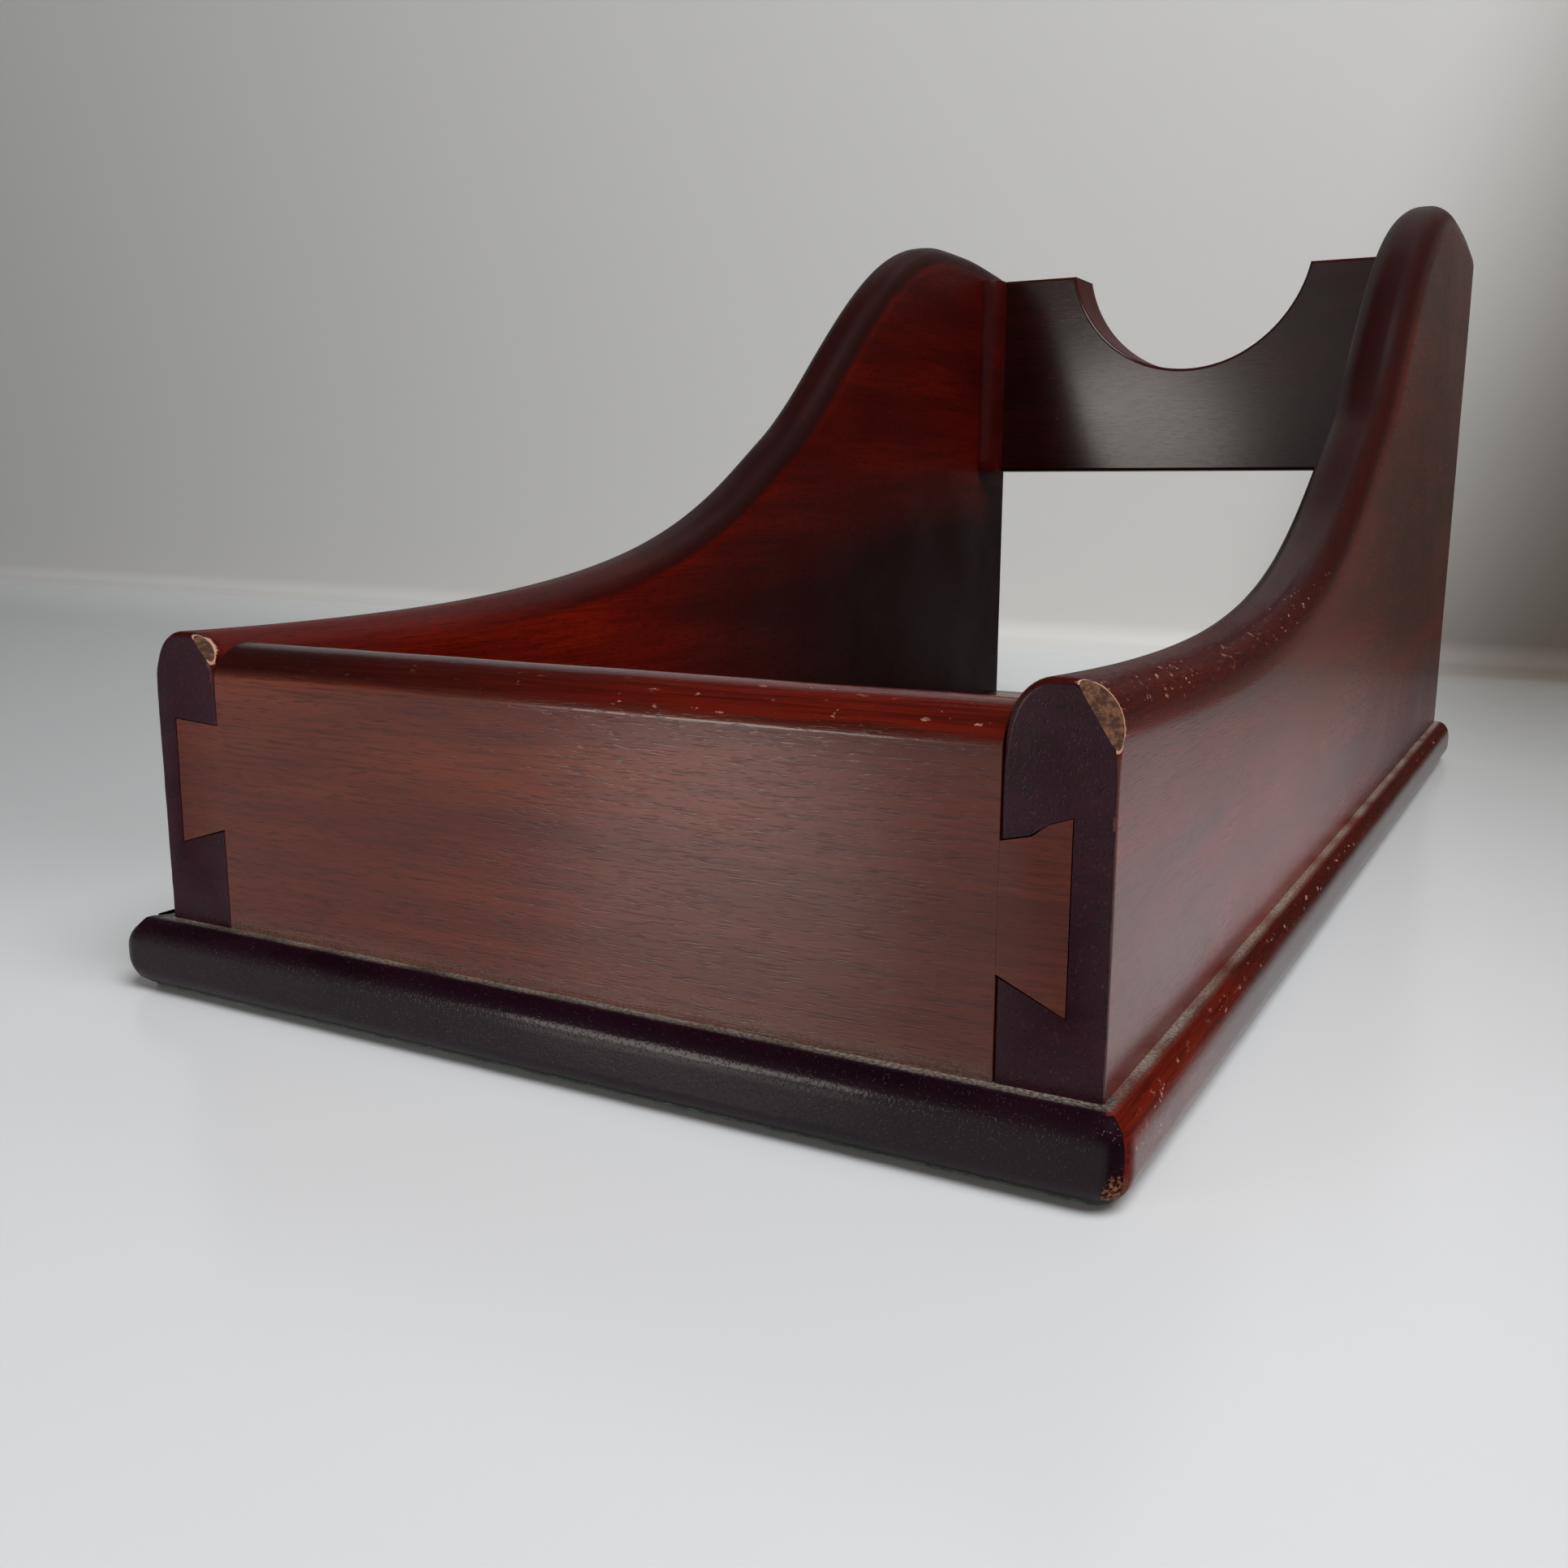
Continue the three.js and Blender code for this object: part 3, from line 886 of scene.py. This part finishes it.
def base_shell(low, high):
    """Rings up the rounded edge, then across the flat top."""
    outlines = {}

    def outline(inset):
        key = round(inset, 3)
        if key not in outlines:
            outlines[key] = rounded_rectangle(low, high, key, BASE_CORNER, BASE_SPACING)
        return outlines[key]

    rings = []
    for upper in (False, True):
        for step in range(EDGE_STEPS + 1):
            turn = math.pi / 2 * (step if upper else EDGE_STEPS - step) / EDGE_STEPS
            ring = []
            for index, (x, y) in enumerate(outline(0)):
                across, tall = base_rounding(x, low[0], high[0], upper)
                at = outline(across * (1 - math.cos(turn)))[index]
                rise = tall * (1 - math.sin(turn))
                place = Vector((*at, BASE_HIGH.z - rise if upper else BASE_LOW.z + rise))
                outward = Vector((x - at[0], y - at[1], 0))
                if outward.length > 1e-6:
                    place += outward.normalized() * (ruffle(place, 0.07, 9) + ruffle(place, 0.03, 2.2))
                ring.append(place)
            rings.append(ring)
    for inset in FLAT_INSETS:
        rings.append([Vector((*at, BASE_HIGH.z)) for at in outline(inset)])
    return loft(rings)


def base_wear(low, high):
    """Bare front right corner, rubbed and chipped right edge, and dust on the ledge round the sides."""
    corner = Vector((high[0], low[1], BASE_HIGH.z))

    def bare(point, normal):
        on_arc = point.x > high[0] - BASE_CORNER and point.y < low[1] + BASE_CORNER
        facing_corner = smooth_step(0.15, 0.4, min(normal.x, -normal.y))
        return 0.5 * on_arc * smooth_step(6.5, 4.5, point.z) * facing_corner

    def rubbed(point, normal):
        near = smooth_step(9, 4, (point - corner).length)
        along_right = smooth_step(0.15, 0.45, normal.x) * smooth_step(0.1, 0.35, normal.z)
        return max(near, 0.8 * along_right * (1 - 0.85 * smooth_step(10, 80, point.y - low[1])))

    # Painted shade: the right edge darker towards the rear
    def dark(point, normal):
        return 0.7 * smooth_step(10, 60, point.y - low[1]) * smooth_step(0.1, 0.4, normal.x)

    def dull(point, normal):
        on_shoulder = 1 if normal.x > 0.1 else 0.5 * (normal.y < -0.1)
        worn_corner = 0.95 * smooth_step(0.25, 0.45, normal.x) * smooth_step(-0.2, -0.4, normal.y)
        return max(on_shoulder * smooth_step(0.15, 0.5, normal.z), worn_corner)

    def edge(point, normal):
        along = point.y - low[1]
        face = 1.2 * smooth_step(0.6, 0.9, normal.x)
        face *= smooth_step(1, 4, along) * smooth_step(20, 9, along)
        arris = 0.85 * smooth_step(0.2, 0.5, normal.z) * smooth_step(0.98, 0.8, normal.z)
        return max(face, arris) if normal.x > 0.1 else 0

    def dust(point, normal):
        beside = max(abs(point.x) - OUTER_HALF, abs(point.y) - REAR_Y)
        ledge = smooth_step(1.5, 0.5, beside) * smooth_step(-2.5, -0.8, beside) * (point.x < high[0] - 2)
        return (0.8 + ruffle(point, 0.9, 6)) * ledge * smooth_step(0.95, 1.0, normal.z)

    return {"bare": bare, "dark": dark, "rubbed": rubbed, "dull": dull, "edge": edge, "dust": dust}


def make_base():
    low = (BASE_LOW.x + BASE_SHIFT, BASE_LOW.y)
    high = (BASE_HIGH.x + BASE_SHIFT, BASE_HIGH.y)
    piece = make_object("base_board", base_shell(low, high))

    def choose_material(centre, normal):
        if normal.z > 0.95:
            return 1 if centre.y < low[1] + END_GRAIN_STRIP and centre.x < high[0] - 2.5 else 0
        return 1 if abs(normal.y) > 0.8 * abs(normal.x) and abs(normal.z) < 0.98 else 0

    paint(piece, base_wear(low, high))
    dress(piece, "base_board", [BASE_WOOD, BASE_END], choose_material)


# ---------------------------------------------------------------- felt and screws
def cut_edge(x, y, share):
    """How far the cut edge of the baize stands out: a slow wave and a fine one."""
    return ruffle((x * 1.7, y * 1.7, share), 0.22, 1) + ruffle((x * 6, y * 6, share * 3), 0.1, 1)


def make_felt():
    """Baize with a slightly uneven cut edge."""
    low = (FELT_LOW.x + BASE_SHIFT, FELT_LOW.y)
    high = (FELT_HIGH.x + BASE_SHIFT, FELT_HIGH.y)
    rings = []
    for share, inset in FELT_RINGS:
        ring = []
        for x, y in rounded_rectangle(low, high, inset, FELT_CORNER, FELT_SPACING):
            push = cut_edge(x, y, share)
            ring.append(Vector((x + math.copysign(push, x) * (abs(x) > FELT_ENDS[0]),
                                y + math.copysign(push, y) * (abs(y) > FELT_ENDS[1]),
                                FELT_LOW.z + share * (FELT_HIGH.z - FELT_LOW.z))))
        rings.append(ring)
    piece = make_object("base_felt", loft(rings))
    dress(piece, "base_felt", [BAIZE])


def finish_screws():
    """The CAD screws stay, in old steel."""
    for name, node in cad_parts.items():
        if name.startswith("base_screw"):
            node.data.materials.clear()
            node.data.materials.append(STEEL)


make_side("left_side", -1, LEFT_SWEEP, LEFT_TAIL, LEFT_FACET)
make_side("right_side", 1, RIGHT_SWEEP, RIGHT_TAIL, RIGHT_FACET)
make_front_board()
make_neck_rest()
make_corner_block("corner_block_left", -1)
make_corner_block("corner_block_right", 1)
make_base()
make_felt()
finish_screws()


# ---------------------------------------------------------------- camera
CAMERA_PLACE = Vector((92.0, -242.3, 59.7))
CAMERA_RIGHT = Vector((0.87412, 0.48570, 0.00304))
CAMERA_UP = Vector((-0.09562, 0.16595, 0.98149))
FOCAL_LENGTH = 34.29
SENSOR_WIDTH = 36


def make_camera():
    """Low camera off the front right corner, close to the cradle."""
    camera_data = bpy.data.cameras.new("camera")
    camera_data.sensor_width = SENSOR_WIDTH
    camera_data.lens = FOCAL_LENGTH
    camera_data.clip_start = 0.01
    camera_data.clip_end = 20
    camera = bpy.data.objects.new("camera", camera_data)
    bpy.context.scene.collection.objects.link(camera)
    back = CAMERA_RIGHT.cross(CAMERA_UP)
    turn = Matrix((CAMERA_RIGHT, CAMERA_UP, back)).transposed()
    camera.matrix_world = Matrix.Translation(CAMERA_PLACE * MM) @ turn.to_4x4()
    bpy.context.scene.camera = camera


# ---------------------------------------------------------------- stage
WALL_Y = 352
WALL_BLEND = (280, 320)  # depths between which the look of the table turns into that of the wall
WALL_SKEW = -0.09
COVE_RADIUS = 8
COVE_STEPS = 10
STAGE_REACH = 1600
WALL_HIGH = 650
TABLE_WHITE = (0.72, 0.745, 0.77, 1)
WALL_GREY = (0.70, 0.70, 0.69, 1)
# Colours of the painted shadow on the table and on the wall
TABLE_SHADE = (0.27, 0.27, 0.26, 1)
WALL_SHADE = (0.13, 0.108, 0.088, 1)
BLACK = (0, 0, 0, 1)


def stage_material():
    """Pale table and grey wall, with painted shadow low at the rear right on both, and a little on the
    table at the left.
    """
    material, tree, shader = new_material("stage")
    parts = add_node(tree, "ShaderNodeSeparateXYZ", {0: object_place(tree)}).outputs
    depth = plus(tree, parts["Y"], times(tree, parts["X"], -WALL_SKEW))
    walled = ramp(tree, depth, WALL_BLEND[0] * MM, WALL_BLEND[1] * MM)
    color = blend(tree, walled, TABLE_WHITE, WALL_GREY)
    # Painted shadow low at the rear right, on the table and the wall
    corner = calc(tree, "SUBTRACT", parts["X"], times(tree, parts["Z"], 0.35))
    rear_right_shadow = times(tree, ramp(tree, corner, -60 * MM, 80 * MM),
                       ramp(tree, depth, -100 * MM, 360 * MM))
    color = blend(tree, rear_right_shadow, color, blend(tree, walled, TABLE_SHADE, WALL_SHADE))
    # Painted shadow on the table at the left of the cradle
    left = times(tree, ramp(tree, parts["X"], -130 * MM, -20 * MM, 1, 0),
                 ramp(tree, parts["Y"], -170 * MM, -60 * MM))
    left = times(tree, left, ramp(tree, depth, 150 * MM, 300 * MM, 0.3, 0))
    color = blend(tree, left, color, BLACK)
    tree.links.new(color, shader.inputs["Base Color"])
    tree.links.new(ramp(tree, walled, 0, 1, 0.24, 0.8), shader.inputs["Roughness"])
    return material


def make_stage():
    """Table top that curves up into a pale wall behind the cradle."""
    profile = [(-STAGE_REACH, 0)]
    for step in range(COVE_STEPS + 1):
        turn = math.pi / 2 * step / COVE_STEPS
        profile.append((WALL_Y - COVE_RADIUS + COVE_RADIUS * math.sin(turn),
                        COVE_RADIUS * (1 - math.cos(turn))))
    profile.append((WALL_Y, WALL_HIGH))
    vertices, faces = [], []
    for x in (-STAGE_REACH, STAGE_REACH):
        vertices += [Vector((x, y + WALL_SKEW * x * (y > 0), z)) * MM for y, z in profile]
    count = len(profile)
    for index in range(count - 1):
        faces.append((index, index + 1, count + index + 1, count + index))
    mesh = bpy.data.meshes.new("stage")
    mesh.from_pydata(vertices, [], faces)
    stage = bpy.data.objects.new("stage", mesh)
    mesh.materials.append(stage_material())
    for face in mesh.polygons:
        face.use_smooth = True
    bpy.context.scene.collection.objects.link(stage)


# ---------------------------------------------------------------- light
NEUTRAL = (1.0, 0.99, 0.98)
WARM = (1.0, 0.92, 0.84)
TOWARDS_FRONT = (-0.2, -0.95, 0.2)  # the room glows more round this direction


def area_light(name, place, target, size, power, color):
    """Soft elliptical light at a place, turned to a target. Its power is in watts."""
    data = bpy.data.lights.new(name, "AREA")
    data.shape = "ELLIPSE"
    data.size, data.size_y = size[0] * MM, size[1] * MM
    data.energy = power
    data.color = color
    light = bpy.data.objects.new(name, data)
    light.location = Vector(place) * MM
    light.rotation_euler = (Vector(target) - Vector(place)).to_track_quat("-Z", "Y").to_euler()
    bpy.context.scene.collection.objects.link(light)


def make_room():
    """Dim room, lighter low down and towards the front."""
    world = bpy.data.worlds.new("world")
    bpy.context.scene.world = world
    world.use_nodes = True
    tree = world.node_tree
    direction = add_node(tree, "ShaderNodeTexCoord").outputs["Generated"]
    towards = add_node(tree, "ShaderNodeVectorMath", {0: direction, 1: TOWARDS_FRONT},
                       operation="DOT_PRODUCT").outputs["Value"]
    rise = add_node(tree, "ShaderNodeSeparateXYZ", {0: direction}).outputs["Z"]
    glow = plus(tree, ramp(tree, towards, 0.6, 1.0, 0, 0.25), ramp(tree, rise, 0.1, 0.45, 0.28, 0.045))
    color = blend(tree, glow, BLACK, (*NEUTRAL, 1))
    tree.links.new(color, tree.nodes["Background"].inputs["Color"])


def make_light():
    """A big soft light overhead at the right, and a pale patch low in front at the left."""
    area_light("overhead", place=(580, -320, 1120), target=(0, 40, 0), size=(900, 900),
               power=16.6, color=NEUTRAL)
    area_light("pale_patch", place=(-180, -455, 75), target=(0, 110, 70), size=(125, 130),
               power=0.3, color=WARM)
    make_room()
    bpy.context.scene.view_settings.view_transform = "Standard"


make_camera()
make_stage()
make_light()
